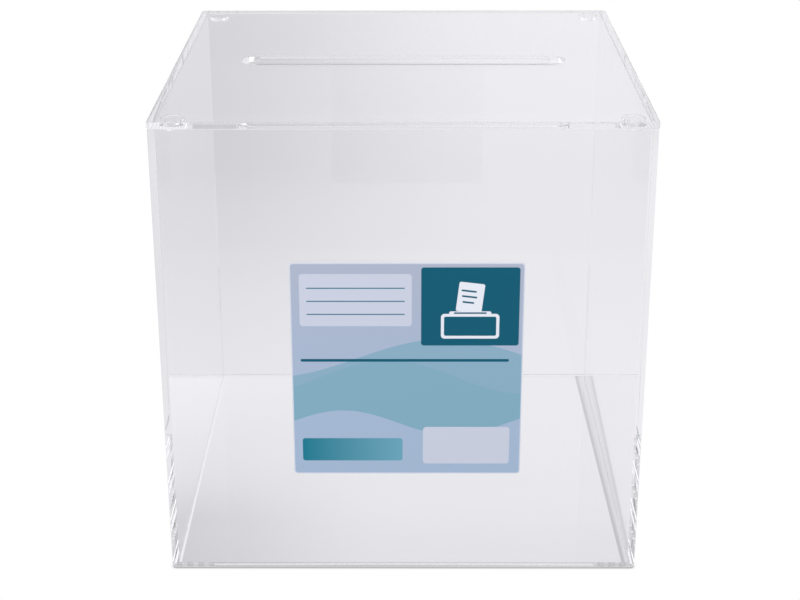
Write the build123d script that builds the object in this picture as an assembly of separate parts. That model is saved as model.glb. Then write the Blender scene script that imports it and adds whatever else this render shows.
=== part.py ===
from build123d import *
import os

# Ballot box of clear acrylic sheet: four walls bonded on a base plate, a loose slotted lid and a label.
# Millimetres. The origin is on the table under the middle of the box, the front faces -Y.

# Box body
box_width = 210.0  # outside, left to right
box_depth = 210.0  # outside, front to back
box_height = 210.0  # table to the top face of the lid
wall_sheet = 3.0  # sheet of the four upright panels
panel_ease = 0.35  # radius left by polishing the outer edges

# Base plate under the walls
base_sheet = 2.0
base_inset = 0.5  # how far its edge stands back from the face of each wall
base_corner_radius = 1.5

# Lid
lid_sheet = 3.0
lid_overhang = 0.5  # how far the lid runs past each wall
lid_corner_radius = 2.0
lid_ease = 0.4  # radius along the rim of both lid faces

# Ballot slot
slot_length = 150.0  # over its round ends
slot_width = 15.0
slot_ease = 0.5  # radius along both rims of the slot

# Locating pads under the lid
pad_diameter = 10.0
pad_thickness = 2.0
pad_play = 1.5  # between a pad and each wall beside it
pad_bevel = 0.5  # bevel round the lower face

# Self-adhesive label on the front panel
label_width = 100.0
label_height = 100.0
label_corner_radius = 1.5
label_film = 0.15
label_rise = 48.5  # table to the label's lower edge
label_offset = 1.7  # how far the label was stuck to the right of the middle

# Places that follow from the sizes above
lid_under = box_height - lid_sheet
wall_height = lid_under - base_sheet
inner_width = box_width - 2 * wall_sheet
inner_depth = box_depth - 2 * wall_sheet
pad_reach_x = inner_width / 2 - pad_play - pad_diameter / 2
pad_reach_y = inner_depth / 2 - pad_play - pad_diameter / 2


def standing(width, depth, height):
    """Return a block that stands on the plane Z = 0, centred on the Z axis."""
    return Box(width, depth, height, align=(Align.CENTER, Align.CENTER, Align.MIN))


def edges_on(panel, plane_axis, place):
    """Return the edges of a panel that lie wholly in the plane at this place along an axis."""
    return panel.edges().filter_by_position(plane_axis, place, place)


def end_panel():
    """Front or back panel: full width, its outer face turned to -Y and centred on the Z axis."""
    panel = standing(box_width, wall_sheet, wall_height)
    outer_edges = edges_on(panel, Axis.Y, -wall_sheet / 2)
    inner_top_edge = edges_on(panel, Axis.Y, wall_sheet / 2) & edges_on(panel, Axis.Z, wall_height)
    return fillet(outer_edges + inner_top_edge, panel_ease)


def side_panel():
    """Left panel: fits between the end panels, its outer face turned to -X."""
    panel = standing(wall_sheet, inner_depth, wall_height)
    top_edges = edges_on(panel, Axis.Z, wall_height).filter_by(Axis.Y)
    outer_foot_edge = edges_on(panel, Axis.X, -wall_sheet / 2) & edges_on(panel, Axis.Z, 0)
    return fillet(top_edges + outer_foot_edge, panel_ease)


def base_panel():
    """Base plate with rounded corners and eased rims, on which the four walls stand."""
    plate_width = box_width - 2 * base_inset
    plate_depth = box_depth - 2 * base_inset
    plate = extrude(RectangleRounded(plate_width, plate_depth, base_corner_radius), base_sheet)
    return fillet(edges_on(plate, Axis.Z, 0) + edges_on(plate, Axis.Z, base_sheet), panel_ease)


def lid_panel():
    """Loose lid: a plate with rounded corners, a round-ended slot and polished rims."""
    lid_width = box_width + 2 * lid_overhang
    lid_depth = box_depth + 2 * lid_overhang
    plate = extrude(RectangleRounded(lid_width, lid_depth, lid_corner_radius), lid_sheet)
    plate = fillet(edges_on(plate, Axis.Z, 0) + edges_on(plate, Axis.Z, lid_sheet), lid_ease)
    plate -= extrude(SlotOverall(slot_length, slot_width), lid_sheet)
    slot_rims = [
        edge
        for edge in edges_on(plate, Axis.Z, 0) + edges_on(plate, Axis.Z, lid_sheet)
        if abs(edge.center().Y) <= slot_width / 2 and abs(edge.center().X) <= slot_length / 2
    ]
    return Pos(0, 0, lid_under) * fillet(slot_rims, slot_ease)


def lid_pad():
    """Clear round pad bonded under a corner of the lid, its lower rim bevelled."""
    pad = Cylinder(pad_diameter / 2, pad_thickness, align=(Align.CENTER, Align.CENTER, Align.MAX))
    lower_rim = edges_on(pad, Axis.Z, -pad_thickness)
    return chamfer(lower_rim, pad_bevel)


def front_label():
    """Square label of thin film with rounded corners, stuck on the outer face of the front panel."""
    film = extrude(RectangleRounded(label_width, label_height, label_corner_radius), label_film)
    label_middle = label_rise + label_height / 2
    return Pos(label_offset, -box_depth / 2, label_middle) * Rot(90, 0, 0) * film


def box_pieces():
    """Return every piece of the box at its place, by name."""
    end_reach = box_depth / 2 - wall_sheet / 2
    side_reach = box_width / 2 - wall_sheet / 2
    half_turn = Rot(0, 0, 180)
    pieces = {
        "base_panel": base_panel(),
        "front_panel": Pos(0, -end_reach, base_sheet) * end_panel(),
        "back_panel": Pos(0, end_reach, base_sheet) * half_turn * end_panel(),
        "left_panel": Pos(-side_reach, 0, base_sheet) * side_panel(),
        "right_panel": Pos(side_reach, 0, base_sheet) * half_turn * side_panel(),
        "lid_panel": lid_panel(),
        "front_label": front_label(),
    }
    for end_name, end_sign in (("front", -1), ("back", 1)):
        for side_name, side_sign in (("left", -1), ("right", 1)):
            corner = Pos(side_sign * pad_reach_x, end_sign * pad_reach_y, lid_under)
            pieces[f"lid_pad_{end_name}_{side_name}"] = corner * lid_pad()
    return pieces


os.makedirs("parts", exist_ok=True)
for piece_name, piece in box_pieces().items():
    export_step(piece, f"parts/{piece_name}.step")
    size = piece.bounding_box().size
    print(f"{piece_name}: {piece.volume:.1f} mm3, {size.X:.2f} x {size.Y:.2f} x {size.Z:.2f} mm")
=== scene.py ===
import math

import bpy
import numpy as np
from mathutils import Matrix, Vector


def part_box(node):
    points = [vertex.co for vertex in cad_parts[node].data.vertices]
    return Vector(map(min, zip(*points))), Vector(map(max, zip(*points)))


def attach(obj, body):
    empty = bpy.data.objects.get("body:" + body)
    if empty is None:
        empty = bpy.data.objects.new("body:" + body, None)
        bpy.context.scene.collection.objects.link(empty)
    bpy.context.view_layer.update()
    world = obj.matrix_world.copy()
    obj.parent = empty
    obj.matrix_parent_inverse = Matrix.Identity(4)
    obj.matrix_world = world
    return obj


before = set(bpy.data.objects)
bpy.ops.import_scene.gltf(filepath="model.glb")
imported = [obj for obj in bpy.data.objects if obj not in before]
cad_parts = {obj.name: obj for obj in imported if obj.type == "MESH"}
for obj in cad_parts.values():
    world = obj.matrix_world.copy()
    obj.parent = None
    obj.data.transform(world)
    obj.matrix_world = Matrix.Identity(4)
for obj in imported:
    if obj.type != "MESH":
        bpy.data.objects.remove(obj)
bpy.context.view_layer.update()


# Body: base plate and the four walls
# Clear cast acrylic, sawn to size, its cut edges flame polished. The walls stand on the base plate and
# everything is solvent welded face to face, so that light runs on through the joints.

MM = 0.001  # metres in a millimetre


def linear(hex_colour):
    """Turn an sRGB hex colour into linear red, green, blue and an alpha of one."""
    values = np.array([int(hex_colour[i:i + 2], 16) for i in (1, 3, 5)]) / 255
    low, high = values / 12.92, ((values + 0.055) / 1.055) ** 2.4
    return (*np.where(values <= 0.04045, low, high).tolist(), 1.0)


def add_node(tree, kind, settings=None, inputs=None):
    """Add one node, set its properties, and give each input its value or the output that feeds it."""
    node = tree.nodes.new(kind)
    for name, value in (settings or {}).items():
        setattr(node, name, value)
    for key, value in (inputs or {}).items():
        if isinstance(value, bpy.types.NodeSocket):
            tree.links.new(value, node.inputs[key])
        else:
            node.inputs[key].default_value = value
    return node


def new_material(name):
    """Return a new node material, its empty tree and the object coordinates in it."""
    material = bpy.data.materials.new(name)
    material.use_nodes = True
    material.node_tree.nodes.clear()
    place = add_node(material.node_tree, "ShaderNodeTexCoord").outputs["Object"]
    return material, material.node_tree, place


sheet_tint, acrylic_ior = "#FDFDFE", 1.49
sheet_wave = 45.0  # mm from one swell of a cast sheet's face to the next
sheet_swell = 0.004  # mm, how deep these swells are
same_corner = 0.001 * MM  # corners of a node's loose triangles that lie this near are one
joint_reach = 0.05 * MM  # a face this near to the plane of a welded joint belongs to it
eased_rim = 0.36 * MM  # the rim of the base plate starts to round this far from its edge
base_high = Vector(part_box("base_panel")[1])
wall_low, wall_high = (Vector(corner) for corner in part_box("left_panel"))
wall_inside = -wall_high.x
foot_reach = base_high.x - eased_rim


def welded_share(tree, place):
    """One on the bonded strips, where end walls meet side walls and where the walls stand on the base.

    The strips lie in the planes of the end walls' inner faces and of the base's top face, between the
    walls' inner faces and the base's edge.
    """
    folded = add_node(tree, "ShaderNodeVectorMath", {"operation": "ABSOLUTE"}, {0: place})
    apart = add_node(tree, "ShaderNodeSeparateXYZ", None, {"Vector": folded.outputs["Vector"]})
    across, along, rise = (apart.outputs[axis] for axis in "XYZ")
    end_plane = add_node(tree, "ShaderNodeMath", {"operation": "COMPARE"},
                         {0: along, 1: wall_inside, 2: joint_reach})
    outside_room = add_node(tree, "ShaderNodeMath", {"operation": "GREATER_THAN"},
                            {0: across, 1: wall_inside})
    end_strip = add_node(tree, "ShaderNodeMath", {"operation": "MULTIPLY"},
                         {0: end_plane.outputs[0], 1: outside_room.outputs[0]})
    foot_plane = add_node(tree, "ShaderNodeMath", {"operation": "COMPARE"},
                          {0: rise, 1: base_high.z, 2: joint_reach})
    outmost = add_node(tree, "ShaderNodeMath", {"operation": "MAXIMUM"}, {0: across, 1: along})
    foot_ring = add_node(tree, "ShaderNodeMath", {"operation": "COMPARE"}, {
        0: outmost.outputs[0], 1: (wall_inside + foot_reach) / 2, 2: (foot_reach - wall_inside) / 2})
    foot_strip = add_node(tree, "ShaderNodeMath", {"operation": "MULTIPLY"},
                          {0: foot_plane.outputs[0], 1: foot_ring.outputs[0]})
    return add_node(tree, "ShaderNodeMath", {"operation": "MAXIMUM"},
                    {0: end_strip.outputs[0], 1: foot_strip.outputs[0]}).outputs[0]


def clear_acrylic(name, tint, bonded_share, roughness=0.0):
    """Cast acrylic: water clear, a polished skin with swells too faint to see but in its reflections.

    Where bonded_share is one there is no skin at all, as the bond has made one piece of the two.
    """
    material, tree, place = new_material(name)
    swells = add_node(tree, "ShaderNodeTexNoise", None,
                      {"Vector": place, "Scale": 1 / (sheet_wave * MM), "Detail": 1.0, "Roughness": 0.4})
    skin_relief = add_node(tree, "ShaderNodeBump", None,
                           {"Strength": 1.0, "Distance": sheet_swell * MM, "Height": swells.outputs["Fac"]})
    skinned = add_node(tree, "ShaderNodeMath", {"operation": "SUBTRACT"},
                       {0: 1.0, 1: bonded_share(tree, place)})
    skin = add_node(tree, "ShaderNodeBsdfPrincipled", None, {
        "Base Color": linear(tint), "Roughness": roughness, "IOR": acrylic_ior, "Transmission Weight": 1.0,
        "Alpha": skinned.outputs[0], "Normal": skin_relief.outputs["Normal"]})
    add_node(tree, "ShaderNodeOutputMaterial", None, {"Surface": skin.outputs["BSDF"]})
    return material


def wear_material(node_name, material):
    """Give a CAD node one material in all its slots."""
    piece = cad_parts[node_name]
    piece.data.materials.clear()
    piece.data.materials.append(material)
    return piece


def seat(piece, proud):
    """Move a piece's faces out by a hair, or in, so that bonded faces are in contact and loose ones apart."""
    weld = piece.modifiers.new("joined_faces", "WELD")
    weld.merge_threshold = same_corner
    swell = piece.modifiers.new("contact", "DISPLACE")
    swell.strength = proud
    swell.mid_level = 0.0


sheet_acrylic = clear_acrylic("cast_acrylic_sheet", sheet_tint, welded_share)
for name, proud in (("base_panel", -0.01), ("front_panel", 0.035), ("back_panel", -0.01),
                    ("left_panel", -0.01), ("right_panel", -0.01)):  # mm that its faces are moved out
    seat(wear_material(name, sheet_acrylic), proud * MM)


# Lid and locating pads
# The lid is a loose plate of the same sheet with rounded corners and a routed slot, so a film of air stays
# between it and the walls. Four clear moulded pads, a little duller, are bonded under its corners.

lid_drawn_in = 0.06 * MM  # how far the lid's faces are moved in, to keep the film of air under it
pad_pressed_on = 0.02 * MM  # how far the pads' faces are moved out, to touch the lid
pad_bond_reach = 0.2 * MM  # a face this near to the lid's underside belongs to the bond of a pad
pad_bond_rim = 0.02 * MM  # the bond ends this far inside the pad's rim
pad_low, pad_high = (Vector(corner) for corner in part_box("lid_pad_front_right"))
pad_middle, pad_radius = (pad_low + pad_high) / 2, (pad_high.x - pad_low.x) / 2


def under_pads(tree, place):
    """One on the four round faces, in the plane under the lid, where it and the pads are bonded."""
    folded = add_node(tree, "ShaderNodeVectorMath", {"operation": "ABSOLUTE"}, {0: place})
    flat = add_node(tree, "ShaderNodeVectorMath", {"operation": "MULTIPLY"},
                    {0: folded.outputs["Vector"], 1: (1.0, 1.0, 0.0)})
    distance = add_node(tree, "ShaderNodeVectorMath", {"operation": "DISTANCE"},
                        {0: flat.outputs["Vector"], 1: (pad_middle.x, -pad_middle.y, 0.0)})
    in_circle = add_node(tree, "ShaderNodeMath", {"operation": "LESS_THAN"},
                         {0: distance.outputs["Value"], 1: pad_radius - pad_bond_rim})
    rise = add_node(tree, "ShaderNodeSeparateXYZ", None, {"Vector": place}).outputs["Z"]
    in_plane = add_node(tree, "ShaderNodeMath", {"operation": "COMPARE"},
                        {0: rise, 1: pad_high.z, 2: pad_bond_reach})
    return add_node(tree, "ShaderNodeMath", {"operation": "MULTIPLY"},
                    {0: in_circle.outputs[0], 1: in_plane.outputs[0]}).outputs[0]


lid_acrylic = clear_acrylic("cast_acrylic_lid", sheet_tint, under_pads)
seat(wear_material("lid_panel", lid_acrylic), -lid_drawn_in)
# The pads have the skin of their mould, so what shows through them is a little soft.
pad_plastic = clear_acrylic("moulded_clear_pad", "#FBFCFD", under_pads, roughness=0.12)
for name in ("lid_pad_front_left", "lid_pad_front_right", "lid_pad_back_left", "lid_pad_back_right"):
    seat(wear_material(name, pad_plastic), pad_pressed_on)


# Air in the seams
# The solvent that was run into the two front seams from the foot left slanting slivers of air, each a
# film finer than a hair. They are drawn as thick as they need to be to show.

def sliver_surfaces(middles, leans, lengths, half_widths, half_depth, bow, rings=17, sides=10):
    """Return the vertices and faces of slender closed spindles, one for each middle, in metres.

    A spindle runs along a straight line in the plane across its seam, bowed by a half wave of sine. At the
    share t of its length its section is an ellipse, whose half width and half depth are multiplied by the
    root of 4t(1 - t).
    """
    share = 0.5 - 0.5 * np.cos(np.linspace(0, np.pi, rings + 2))[1:-1]
    turn = np.linspace(0, 2 * np.pi, sides, endpoint=False)
    along = np.stack([leans, np.zeros_like(leans), np.ones_like(leans)], axis=1)
    along /= np.linalg.norm(along, axis=1, keepdims=True)
    sideways = np.stack([along[:, 2], np.zeros_like(leans), -along[:, 0]], axis=1)
    spine = (middles[:, None] + (share - 0.5)[None, :, None] * (lengths[:, None] * along)[:, None]
             + (bow * np.sin(np.pi * share))[None, :, None] * sideways[:, None])
    girth = np.sqrt(4 * share * (1 - share))[None, :, None, None]
    width_part = np.cos(turn)[None, None, :, None] * (half_widths[:, None] * sideways)[:, None, None]
    depth_part = np.sin(turn)[None, None, :, None] * half_depth * np.array([0.0, 1.0, 0.0])
    skin = spine[:, :, None] + girth * (width_part + depth_part)
    tips = middles[:, None] + np.array([-0.5, 0.5])[None, :, None] * (lengths[:, None] * along)[:, None]
    points = np.concatenate([skin.reshape(len(middles), -1, 3), tips], axis=1)
    ring, side = np.meshgrid(np.arange(rings - 1), np.arange(sides), indexing="ij")
    following = (side + 1) % sides
    walls = np.stack([ring * sides + side, ring * sides + following,
                      (ring + 1) * sides + following, (ring + 1) * sides + side], axis=-1).reshape(-1, 4)
    low_tip, high_tip = rings * sides, rings * sides + 1
    first, last = np.arange(sides), np.arange(sides) + (rings - 1) * sides
    low_cap = np.stack([np.roll(first, -1), first, np.full(sides, low_tip)], axis=1)
    high_cap = np.stack([last, np.roll(last, -1), np.full(sides, high_tip)], axis=1)
    starts = np.arange(len(middles)) * points.shape[1]
    faces = [(part[None] + starts[:, None, None]).reshape(-1, part.shape[1]).tolist()
             for part in (walls, low_cap, high_cap)]
    return points.reshape(-1, 3), faces[0] + faces[1] + faces[2]


chance = np.random.default_rng(7)
slivers_per_seam = 6
lowest_sliver, sliver_step = 8.5, 12.5  # mm above the table, and mm from one to the next above it
steps = np.tile(np.arange(slivers_per_seam), 2)
seam_sides = np.repeat([-1.0, 1.0], slivers_per_seam)
seam_middle = (wall_inside - wall_low.x) / 2
across_seam = seam_sides * (seam_middle + chance.uniform(-0.5, 0.4, steps.size) * MM)
up_seam = (lowest_sliver + sliver_step * steps + chance.uniform(-3.5, 3.5, steps.size)) * MM
points, faces = sliver_surfaces(
    np.stack([across_seam, np.full(steps.size, -wall_inside), up_seam], axis=1),
    leans=-seam_sides * chance.uniform(0.15, 0.34, steps.size),
    lengths=chance.uniform(4.0, 9.0, steps.size) * MM,
    half_widths=chance.uniform(0.16, 0.4, steps.size) * MM,
    half_depth=0.06 * MM, bow=0.2 * MM)
mesh = bpy.data.meshes.new("seam_slivers")
mesh.from_pydata(points.tolist(), [], faces)
mesh.polygons.foreach_set("use_smooth", [True] * len(mesh.polygons))
mesh.update()
seam_slivers = bpy.data.objects.new("seam_slivers", mesh)
bpy.context.scene.collection.objects.link(seam_slivers)

# Air caught between two faces of acrylic. It has no skin of its own and lets light through unbent. Its grey
# is painted shade, for the light that breaks aside where the film is entered and left, lighter in random
# flecks.
film_fleck = 1.2  # mm from one fleck to the next
mixed_colour = {"data_type": "RGBA"}  # a colour Mix node takes its two colours at 6 and 7 and gives one at 2
material, tree, place = new_material("air_film_in_seam")
flecks = add_node(tree, "ShaderNodeTexNoise", None,
                  {"Vector": place, "Scale": 1 / (film_fleck * MM), "Detail": 1.0})
# Painted shade: the grey of the air film, lighter in random flecks.
painted_film_shade = add_node(tree, "ShaderNodeMix", mixed_colour,
                     {"Factor": flecks.outputs["Fac"], 6: linear("#AEB7B5"), 7: linear("#EEF0F0")})
air_film = add_node(tree, "ShaderNodeBsdfPrincipled", None, {
    "Base Color": painted_film_shade.outputs[2], "Roughness": 0.0, "IOR": 1.0, "Transmission Weight": 1.0})
add_node(tree, "ShaderNodeOutputMaterial", None, {"Surface": air_film.outputs["BSDF"]})
mesh.materials.append(material)
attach(seam_slivers, "box")


# Label
# White self-adhesive film, offset printed and die cut, pressed flat on the front wall. Its print is a
# generic one: a dark block with a sign of a slip dropping into a box, bands in waves, blank fields.

ink_softness = 0.12  # mm on both sides of a printed edge over which the ink fades
film_depth = 1000.0  # mm, far more than the film's thickness, so that a mask runs right through it


def printed_area(tree, spot, centre, size, corner, turn=0.0):
    """Mask of a turned rounded rectangle, in mm: one up to its corner radius from the box at its core."""
    local = add_node(tree, "ShaderNodeMapping", {"vector_type": "TEXTURE"}, {
        "Vector": spot, "Location": (centre[0] * MM, 0.0, centre[1] * MM), "Rotation": (0.0, turn, 0.0),
        "Scale": (MM, MM, MM)})
    folded = add_node(tree, "ShaderNodeVectorMath", {"operation": "ABSOLUTE"}, {0: local.outputs["Vector"]})
    core = (size[0] / 2 - corner, film_depth, size[1] / 2 - corner)
    past_core = add_node(tree, "ShaderNodeVectorMath", {"operation": "SUBTRACT"},
                         {0: folded.outputs["Vector"], 1: core})
    outside = add_node(tree, "ShaderNodeVectorMath", {"operation": "MAXIMUM"},
                       {0: past_core.outputs["Vector"], 1: (0.0, 0.0, 0.0)})
    distance = add_node(tree, "ShaderNodeVectorMath", {"operation": "LENGTH"}, {0: outside.outputs["Vector"]})
    return add_node(tree, "ShaderNodeMapRange", None, {
        "Value": distance.outputs["Value"], "From Min": corner - ink_softness,
        "From Max": corner + ink_softness, "To Min": 1.0, "To Max": 0.0}).outputs["Result"]


def print_over(tree, ground, spot, middle, areas):
    """Lay printed areas over the ground one after the other, their centres counted in mm from a middle."""
    for centre, size, corner, turn, ink in areas:
        centre = (middle[0] + centre[0], middle[1] + centre[1])
        ground = add_node(tree, "ShaderNodeMix", mixed_colour, {
            "Factor": printed_area(tree, spot, centre, size, corner, turn), 6: ground, 7: ink}).outputs[2]
    return ground


# The print is counted in mm across and up from the label's middle. The ground turns from greyer to bluer
# downwards, and each wave fills everything below its crest.
white_ink, field_ink = linear("#DFE3EB"), linear("#C3C9D8")
dark_ink, rule_ink = linear("#00566D"), linear("#256C84")
rim_white, bare_film = linear("#CBD1DD"), linear("#FBFCFE")
ground_top, ground_foot = 50.0, -20.0
waves = (  # rise, height and length in mm, shift in radians, ink
    (6.0, 9.0, 150.0, 0.9, "#85A8BD"),
    (-3.0, 8.0, 118.0, 2.0, "#7DA6BA"),
    (-25.0, 6.0, 96.0, 3.4, "#9FB3CC"),
)
wave_edge = 0.1  # mm on both sides of a crest over which the ink fades
label_low, label_high = (Vector(corner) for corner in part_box("front_label"))
label_middle = (label_low + label_high) / 2
material, tree, place = new_material("offset_printed_film")
spot = add_node(tree, "ShaderNodeVectorMath", {"operation": "SUBTRACT"},
                {0: place, 1: tuple(label_middle)}).outputs["Vector"]
spot_axes = add_node(tree, "ShaderNodeSeparateXYZ", None, {"Vector": spot})
across, depth, up = (spot_axes.outputs[axis] for axis in "XYZ")
ground_fade = add_node(tree, "ShaderNodeMapRange", None,
                       {"Value": up, "From Min": ground_top * MM, "From Max": ground_foot * MM})
print_layers = add_node(tree, "ShaderNodeMix", mixed_colour, {
    "Factor": ground_fade.outputs["Result"], 6: linear("#A8B0C3"), 7: linear("#9FB3CC")}).outputs[2]
for wave_rise, wave_height, wave_length, wave_shift, wave_ink in waves:
    phase = add_node(tree, "ShaderNodeMath", {"operation": "MULTIPLY_ADD"},
                     {0: across, 1: 2 * math.pi / (wave_length * MM), 2: wave_shift})
    swing = add_node(tree, "ShaderNodeMath", {"operation": "SINE"}, {0: phase.outputs[0]})
    crest = add_node(tree, "ShaderNodeMath", {"operation": "MULTIPLY_ADD"},
                     {0: swing.outputs[0], 1: wave_height * MM, 2: wave_rise * MM})
    below_crest = add_node(tree, "ShaderNodeMath", {"operation": "SUBTRACT"}, {0: crest.outputs[0], 1: up})
    wave_mask = add_node(tree, "ShaderNodeMapRange", None, {
        "Value": below_crest.outputs[0], "From Min": -wave_edge * MM, "From Max": wave_edge * MM})
    print_layers = add_node(tree, "ShaderNodeMix", mixed_colour, {
        "Factor": wave_mask.outputs["Result"], 6: print_layers, 7: linear(wave_ink)}).outputs[2]

bar_middle, bar_size = (-24.0, -38.0), (44.0, 11.0)
bar_left, bar_right = bar_middle[0] - bar_size[0] / 2, bar_middle[0] + bar_size[0] / 2
bar_fade = add_node(tree, "ShaderNodeMapRange", None,
                    {"Value": across, "From Min": bar_left * MM, "From Max": bar_right * MM})
bar_ink = add_node(tree, "ShaderNodeMix", mixed_colour, {
    "Factor": bar_fade.outputs["Result"], 6: linear("#12758A"), 7: linear("#66A0B5")}).outputs[2]
block_middle = (27.0, 30.0)
label_areas = (  # centre, size, corner radius, turn, ink
    (block_middle, (42.0, 36.0), 1.2, 0.0, dark_ink),
    ((-22.0, 33.0), (48.0, 24.0), 1.5, 0.0, field_ink),
    ((-22.0, 38.5), (42.0, 0.5), 0.2, 0.0, rule_ink),
    ((-22.0, 32.5), (42.0, 0.5), 0.2, 0.0, rule_ink),
    ((-22.0, 26.5), (42.0, 0.5), 0.2, 0.0, rule_ink),
    ((-1.0, 5.0), (90.0, 1.3), 0.6, 0.0, dark_ink),
    (bar_middle, bar_size, 1.2, 0.0, bar_ink),
    ((26.0, -36.0), (38.0, 18.0), 1.5, 0.0, field_ink),
)
block_areas = (  # the box, the slip with its three lines, and the slot that it drops into
    ((0.0, -9.0), (25.0, 11.5), 1.6, 0.0, white_ink),
    ((0.0, -9.0), (22.4, 8.9), 0.8, 0.0, dark_ink),
    ((0.0, 4.2), (11.0, 13.5), 0.8, 0.12, white_ink),
    ((-0.6, 7.2), (6.5, 0.8), 0.3, 0.12, dark_ink),
    ((-0.4, 4.6), (6.5, 0.8), 0.3, 0.12, dark_ink),
    ((-0.9, 2.0), (5.0, 0.8), 0.3, 0.12, dark_ink),
    ((0.0, -2.9), (18.0, 1.6), 0.8, 0.0, white_ink),
    ((0.0, -2.9), (14.0, 0.7), 0.3, 0.0, dark_ink),
)
print_layers = print_over(tree, print_layers, spot, (0.0, 0.0), label_areas)
print_layers = print_over(tree, print_layers, spot, block_middle, block_areas)
inked_size, inked_corner = (99.0, 99.0), 1.2  # inside the unprinted rim that the die leaves
inside_rim = printed_area(tree, spot, (0.0, 0.0), inked_size, inked_corner)
print_layers = add_node(tree, "ShaderNodeMix", mixed_colour,
                        {"Factor": inside_rim, 6: rim_white, 7: print_layers}).outputs[2]

# Satin film: the ink lies on its front face alone, so from behind it is plain white. Its gloss is dull and
# broken by a fine grain, and it lies a little uneven on the glue, which stirs the light that it gives back.
ink_depth = (-0.05 * MM, -0.04 * MM)  # from the middle of the film, its front face being at -0.075 mm
film_grain, film_cockle = 0.5, 22.0  # mm from one grain, and from one cockle, to the next
cockle_height = 0.05 * MM
gloss_smooth, gloss_rough = 0.32, 0.46  # roughness between which the grain changes
printed_side = add_node(tree, "ShaderNodeMapRange", None, {
    "Value": depth, "From Min": ink_depth[0], "From Max": ink_depth[1], "To Min": 1.0, "To Max": 0.0})
film_colour = add_node(tree, "ShaderNodeMix", mixed_colour, {
    "Factor": printed_side.outputs["Result"], 6: bare_film, 7: print_layers}).outputs[2]
grain = add_node(tree, "ShaderNodeTexNoise", None,
                 {"Vector": place, "Scale": 1 / (film_grain * MM), "Detail": 2.0})
cockle = add_node(tree, "ShaderNodeTexNoise", None,
                  {"Vector": place, "Scale": 1 / (film_cockle * MM), "Detail": 1.0})
film_gloss = add_node(tree, "ShaderNodeMapRange", None,
                      {"Value": grain.outputs["Fac"], "To Min": gloss_smooth, "To Max": gloss_rough})
film_relief = add_node(tree, "ShaderNodeBump", None,
                       {"Height": cockle.outputs["Fac"], "Strength": 1.0, "Distance": cockle_height})
film = add_node(tree, "ShaderNodeBsdfPrincipled", None, {
    "Base Color": film_colour, "Roughness": film_gloss.outputs["Result"], "IOR": 1.46,
    "Specular IOR Level": 0.25, "Normal": film_relief.outputs["Normal"]})
add_node(tree, "ShaderNodeOutputMaterial", None, {"Surface": film.outputs["BSDF"]})
wear_material("front_label", material)


# Table and studio
# A white table, whose light and shade are painted into its own glow, in a white studio, dim behind the
# camera.
# Side lights make a low bright band at the back, a pool of light is painted on the table, and one softbox to
# the front left lights the label.

def tone_along(tree, amount, stops):
    """Return a grey that follows its stops, each an amount with the grey there, and keeps the end ones."""
    low, high = stops[0][0], stops[-1][0]
    share = add_node(tree, "ShaderNodeMapRange", None, {"Value": amount, "From Min": low, "From Max": high})
    ramp = add_node(tree, "ShaderNodeValToRGB", None, {"Fac": share.outputs["Result"]})
    elements = ramp.color_ramp.elements
    while len(elements) < len(stops):
        elements.new(0.5)
    for element, (stop_place, shade) in zip(elements, stops):
        element.position = (stop_place - low) / (high - low)
    for element, (stop_place, shade) in zip(elements, stops):
        element.color = (shade, shade, shade, 1.0)
    return ramp.outputs["Color"]


def grey(level):
    """Return the grey of one level, where one is white."""
    return (level, level, level, 1.0)


cool_white, pure_white = linear("#FDFCFF"), grey(1.0)
multiplied = {"data_type": "RGBA", "blend_type": "MULTIPLY"}
smooth = {"interpolation_type": "SMOOTHSTEP"}
table_reach = 12.0  # m from the middle to each edge
table_gap = 0.2 * MM  # how far its face lies under the base plate
corners = np.array([(-1, -1, 0), (1, -1, 0), (1, 1, 0), (-1, 1, 0)]) * table_reach
corners[:, 2] = -table_gap
mesh = bpy.data.meshes.new("table_top")
mesh.from_pydata(corners.tolist(), [], [(0, 1, 2, 3)])
table_top = bpy.data.objects.new("table_top", mesh)
bpy.context.scene.collection.objects.link(table_top)

# It stands for plain white laminate, but is drawn as a glow whose light and shade are painted. The camera
# sees it white, but for a painted line of contact shadow at the foot of the box. Looked at through the
# acrylic it has painted tones that stand for the light and shade that the box and the room give it, which is
# what makes clear sheet show. Each row of tones has the metres behind the box's middle, the grey to the left
# and the grey to the right.
open_painted_tones = (
    (-1.2, 0.70, 0.74), (-0.45, 0.68, 0.70), (-0.25, 0.66, 0.68), (-0.16, 0.52, 0.55), (-0.1, 0.56, 0.63),
    (0.1, 0.83, 0.91), (0.25, 0.775, 0.89), (0.34, 0.732, 0.883), (0.43, 0.712, 0.90), (0.51, 0.692, 0.92),
    (0.6, 0.697, 0.93), (0.66, 0.648, 0.897), (1.1, 0.632, 0.91))
covered_painted_tones = (
    (-0.105, 0.63, 0.86), (-0.078, 0.665, 0.875), (-0.06, 0.665, 0.90), (-0.041, 0.74, 0.912),
    (-0.02, 0.815, 0.905), (0.001, 0.845, 0.912), (0.03, 0.88, 0.915), (0.06, 0.925, 0.92),
    (0.105, 0.97, 0.93))
open_turn, covered_turn = (-0.2, 0.09), (-0.13, 0.0)  # m across, where the left grey turns into the right
cover_edge = (0.1032, 0.1038)  # m, in the thickness of the end walls, where the covered table ends
material, tree, place = new_material("table_with_painted_light")
table_axes = add_node(tree, "ShaderNodeSeparateXYZ", None, {"Vector": place})
across, back = table_axes.outputs["X"], table_axes.outputs["Y"]
aside = add_node(tree, "ShaderNodeMath", {"operation": "ABSOLUTE"}, {0: across}).outputs[0]
endwards = add_node(tree, "ShaderNodeMath", {"operation": "ABSOLUTE"}, {0: back}).outputs[0]
under_box = add_node(tree, "ShaderNodeMapRange", None, {
    "Value": endwards, "From Min": cover_edge[0], "From Max": cover_edge[1],
    "To Min": 1.0, "To Max": 0.0}).outputs["Result"]
painted_table_tones = []
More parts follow.
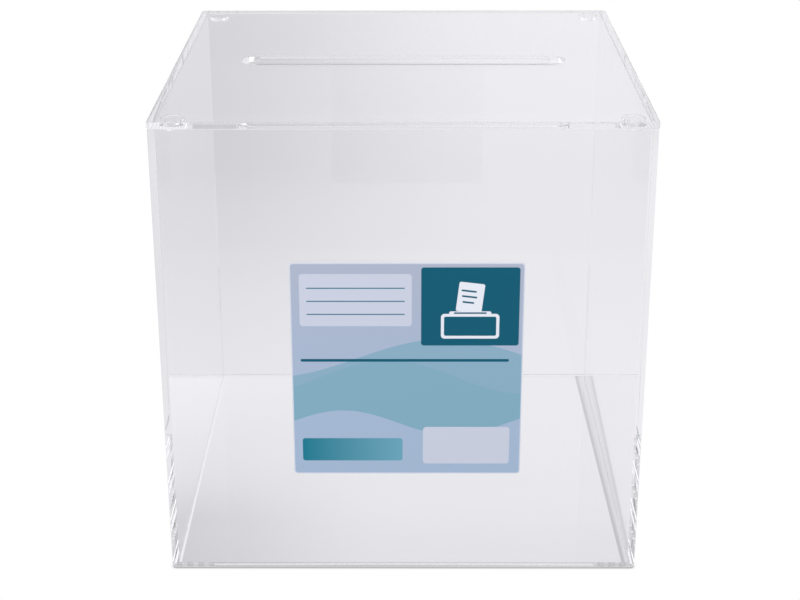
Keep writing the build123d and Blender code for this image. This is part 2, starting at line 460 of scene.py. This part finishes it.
for tones, turn in ((open_painted_tones, open_turn), (covered_painted_tones, covered_turn)):
    rightwards = add_node(tree, "ShaderNodeMapRange", smooth,
                          {"Value": across, "From Min": turn[0], "From Max": turn[1]})
    left_tone = tone_along(tree, back, [(y, left) for y, left, right in tones])
    right_tone = tone_along(tree, back, [(y, right) for y, left, right in tones])
    painted_table_tones.append(add_node(tree, "ShaderNodeMix", mixed_colour, {
        "Factor": rightwards.outputs["Result"], 6: left_tone, 7: right_tone}).outputs[2])
painted_table_light = add_node(tree, "ShaderNodeMix", mixed_colour,
                       {"Factor": under_box, 6: painted_table_tones[0], 7: painted_table_tones[1]}).outputs[2]

# Painted light: the table is painted lighter straight beside the walls, where nothing shades it.
painted_side_light = grey(0.97)
side_start, side_full = 0.1055, 0.16  # m from the middle, from the lid's edge outwards
beside = add_node(tree, "ShaderNodeMapRange", smooth,
                  {"Value": aside, "From Min": side_start, "From Max": side_full})
near_walls = tone_along(tree, back, [(-0.45, 0.0), (-0.2, 1.0), (-0.06, 1.0), (0.03, 0.5), (0.12, 0.0)])
sides_share = add_node(tree, "ShaderNodeMath", {"operation": "MULTIPLY"},
                       {0: beside.outputs["Result"], 1: near_walls})
painted_table_light = add_node(tree, "ShaderNodeMix", mixed_colour,
                       {"Factor": sides_share.outputs[0], 6: painted_table_light, 7: painted_side_light}).outputs[2]

# A painted shadow: the thin soft shadow that the right wall's foot throws on the covered table. And painted
# light on the strip under the side walls, where the sheet leads light down to it.
shadow_slant = 0.0127  # m that the shadow runs outwards for each metre forwards
foot_middle, foot_half = 0.1030, 0.0017  # m, the strip of the table under a side wall
shadow_place = add_node(tree, "ShaderNodeMath", {"operation": "MULTIPLY_ADD"},
                        {0: back, 1: shadow_slant, 2: across})
painted_wall_shadow = tone_along(tree, shadow_place.outputs[0], [
    (0.090, 1.0), (0.0981, 1.0), (0.0986, 0.60), (0.0993, 0.66), (0.1002, 0.80), (0.1020, 0.91),
    (0.1035, 1.0), (0.106, 1.0)])
painted_table_light = add_node(tree, "ShaderNodeMix", multiplied,
                       {"Factor": under_box, 6: painted_table_light, 7: painted_wall_shadow}).outputs[2]
under_wall = add_node(tree, "ShaderNodeMath", {"operation": "COMPARE"},
                      {0: aside, 1: foot_middle, 2: foot_half})
foot_share = add_node(tree, "ShaderNodeMath", {"operation": "MULTIPLY"},
                      {0: under_wall.outputs[0], 1: under_box})
painted_foot_glow = tone_along(tree, across, [(-0.11, 1.0), (-0.1, 1.0), (0.1, 0.8), (0.11, 0.8)])
painted_table_light = add_node(tree, "ShaderNodeMix", mixed_colour,
                       {"Factor": foot_share.outputs[0], 6: painted_table_light, 7: painted_foot_glow}).outputs[2]

# Painted shade: in front of the box, where the camera's stand keeps the light off, the table is painted dim.
painted_dim_patch = grey(0.35)
patch_start, patch_full = -0.55, -0.72  # m behind the middle, so in front of the box
patch_edge, patch_core = 0.30, 0.18  # m to either side
patch_back = add_node(tree, "ShaderNodeMapRange", smooth,
                      {"Value": back, "From Min": patch_start, "From Max": patch_full})
patch_across = add_node(tree, "ShaderNodeMapRange", smooth,
                        {"Value": aside, "From Min": patch_edge, "From Max": patch_core})
patch_share = add_node(tree, "ShaderNodeMath", {"operation": "MULTIPLY"},
                       {0: patch_back.outputs["Result"], 1: patch_across.outputs["Result"]})
painted_table_light = add_node(tree, "ShaderNodeMix", multiplied,
                       {"Factor": patch_share.outputs[0], 6: painted_table_light, 7: painted_dim_patch}).outputs[2]

# A pool of light painted on the table behind the box on the left; it shows in the round ends of the slot and
# in the lid's rims.
painted_pool_light = grey(1.5)
pool_middle = (-0.5, 0.8, 0.0)
pool_edge, pool_core = 0.25, 0.13  # m from its middle
from_pool = add_node(tree, "ShaderNodeVectorMath", {"operation": "DISTANCE"}, {0: place, 1: pool_middle})
pool_share = add_node(tree, "ShaderNodeMapRange", smooth,
                      {"Value": from_pool.outputs["Value"], "From Min": pool_edge, "From Max": pool_core})
painted_table_light = add_node(tree, "ShaderNodeMix", mixed_colour,
                       {"Factor": pool_share.outputs["Result"], 6: painted_table_light, 7: painted_pool_light}).outputs[2]
painted_table_light = add_node(tree, "ShaderNodeMix", multiplied,
                       {"Factor": 1.0, 6: painted_table_light, 7: cool_white}).outputs[2]

# The painted contact shadow follows the distance to a square that ends 1.5 mm inside the edge of the base
# plate.
shadow_core = 0.1030
past_side, past_end = (
    add_node(tree, "ShaderNodeMath", {"operation": "SUBTRACT", "use_clamp": True},
             {0: distance, 1: shadow_core}).outputs[0] for distance in (aside, endwards))
past_core = add_node(tree, "ShaderNodeCombineXYZ", None, {"X": past_side, "Y": past_end})
from_core = add_node(tree, "ShaderNodeVectorMath", {"operation": "LENGTH"}, {0: past_core.outputs["Vector"]})
painted_contact_shadow = tone_along(tree, from_core.outputs["Value"], [
    (0.0, 0.42), (0.0015, 0.42), (0.0021, 0.75), (0.0028, 0.97), (0.0040, 1.0)])
sight = add_node(tree, "ShaderNodeLightPath")
seen_table = add_node(tree, "ShaderNodeMix", mixed_colour,
                      {"Factor": sight.outputs["Is Camera Ray"], 6: painted_table_light, 7: painted_contact_shadow})
# The table shows its painted light and shade by glowing with them, though it is no lamp.
glow = add_node(tree, "ShaderNodeEmission", None, {"Color": seen_table.outputs[2], "Strength": 1.0})
add_node(tree, "ShaderNodeOutputMaterial", None, {"Surface": glow.outputs["Emission"]})
mesh.materials.append(material)

# Painted white walls and ceiling. The camera sees them white. Looked at through the acrylic they have a
# tone for each direction, by how far it runs back, to the right and up, from minus one to one.
side_lights = grey(1.6)
off_start, off_full = 0.18, 0.3  # how far to a side the side lights begin and are full
back_start, back_full = 0.35, 0.6  # how far back they begin and are full
world = bpy.data.worlds.new("studio")
world.use_nodes = True
bpy.context.scene.world = world
tree = world.node_tree
tree.nodes.clear()
direction = add_node(tree, "ShaderNodeTexCoord").outputs["Generated"]
direction_axes = add_node(tree, "ShaderNodeSeparateXYZ", None, {"Vector": direction})
rightward, backward, upward = (direction_axes.outputs[axis] for axis in "XYZ")
depth_tone = tone_along(tree, backward, [(-1.0, 0.62), (-0.4, 0.66), (0.2, 0.84), (1.0, 0.9)])
side_tone = tone_along(tree, rightward, [
    (-1.0, 1.05), (-0.4, 1.05), (-0.22, 0.77), (-0.08, 0.9), (0.06, 1.0), (0.2, 1.07), (1.0, 1.1)])
ceiling_tone = tone_along(tree, upward, [
    (-1.0, 1.0), (0.0, 1.0), (0.04, 1.05), (0.2, 1.05), (0.3, 0.93), (0.46, 0.93), (0.56, 0.50), (0.72, 0.50),
    (0.8, 1.75), (1.0, 1.75)])
studio_light = depth_tone
for tone in (side_tone, ceiling_tone):
    studio_light = add_node(tree, "ShaderNodeMix", multiplied,
                            {"Factor": 1.0, 6: studio_light, 7: tone}).outputs[2]
off_middle = add_node(tree, "ShaderNodeMath", {"operation": "ABSOLUTE"}, {0: rightward})
to_side = add_node(tree, "ShaderNodeMapRange", smooth,
                   {"Value": off_middle.outputs[0], "From Min": off_start, "From Max": off_full})
to_back = add_node(tree, "ShaderNodeMapRange", smooth,
                   {"Value": backward, "From Min": back_start, "From Max": back_full})
low_band = tone_along(tree, upward, [(0.0, 0.0), (0.03, 1.0), (0.17, 1.0), (0.22, 0.0), (0.25, 0.0)])
low_back = add_node(tree, "ShaderNodeMath", {"operation": "MULTIPLY"},
                    {0: to_back.outputs["Result"], 1: low_band})
lights_share = add_node(tree, "ShaderNodeMath", {"operation": "MULTIPLY"},
                        {0: to_side.outputs["Result"], 1: low_back.outputs[0]})
studio_light = add_node(tree, "ShaderNodeMix", mixed_colour,
                        {"Factor": lights_share.outputs[0], 6: studio_light, 7: side_lights}).outputs[2]
studio_light = add_node(tree, "ShaderNodeMix", multiplied,
                        {"Factor": 1.0, 6: studio_light, 7: cool_white}).outputs[2]
sight = add_node(tree, "ShaderNodeLightPath")
seen_studio = add_node(tree, "ShaderNodeMix", mixed_colour,
                       {"Factor": sight.outputs["Is Camera Ray"], 6: studio_light, 7: pure_white})
shade = add_node(tree, "ShaderNodeBackground", None, {"Color": seen_studio.outputs[2], "Strength": 1.0})
add_node(tree, "ShaderNodeOutputWorld", None, {"Surface": shade.outputs["Background"]})

softbox_place, softbox_aim = Vector((-0.7, -1.3, 1.4)), Vector((0.0, 0.0, 0.1))
softbox_width, softbox_watts = 0.9, 26.0
softbox = bpy.data.objects.new("softbox", bpy.data.lights.new("softbox", "AREA"))
softbox.data.shape, softbox.data.size, softbox.data.energy = "SQUARE", softbox_width, softbox_watts
softbox.location = softbox_place
softbox.rotation_euler = (softbox_aim - softbox_place).to_track_quat("-Z", "Y").to_euler()
# It lights the print alone. The acrylic gets its light from the studio.
softbox.visible_glossy = softbox.visible_transmission = False
scene = bpy.context.scene
scene.collection.objects.link(softbox)

scene.view_settings.view_transform = "Standard"
# Light that is caught in the sheet meets many faces before it leaves.
scene.cycles.max_bounces = 160
scene.cycles.transmission_bounces = scene.cycles.glossy_bounces = scene.cycles.transparent_max_bounces = 128


# Camera
# It stands 0.87 m from the box, in front of it, and looks down on it by 22 degrees. Its lens and place were
# fitted to the lid and the walls. It has no shift, which the other views would keep.

camera = bpy.data.objects.new("camera", bpy.data.cameras.new("camera"))
scene.collection.objects.link(camera)
pitch, yaw, roll = math.radians(22.04), math.radians(0.20), math.radians(0.08)
focal_length_px, picture_width_px, sensor_width_mm = 1697.3, 800, 36.0
camera_place_mm = Vector((1.4, -775.2, 402.9))
camera.data.sensor_width = sensor_width_mm
camera.data.lens = focal_length_px / picture_width_px * sensor_width_mm
camera.location = camera_place_mm * MM
camera.rotation_euler = (math.pi / 2 - pitch, roll, yaw)
camera.data.clip_start, camera.data.clip_end = 0.01, 100.0
scene.camera = camera
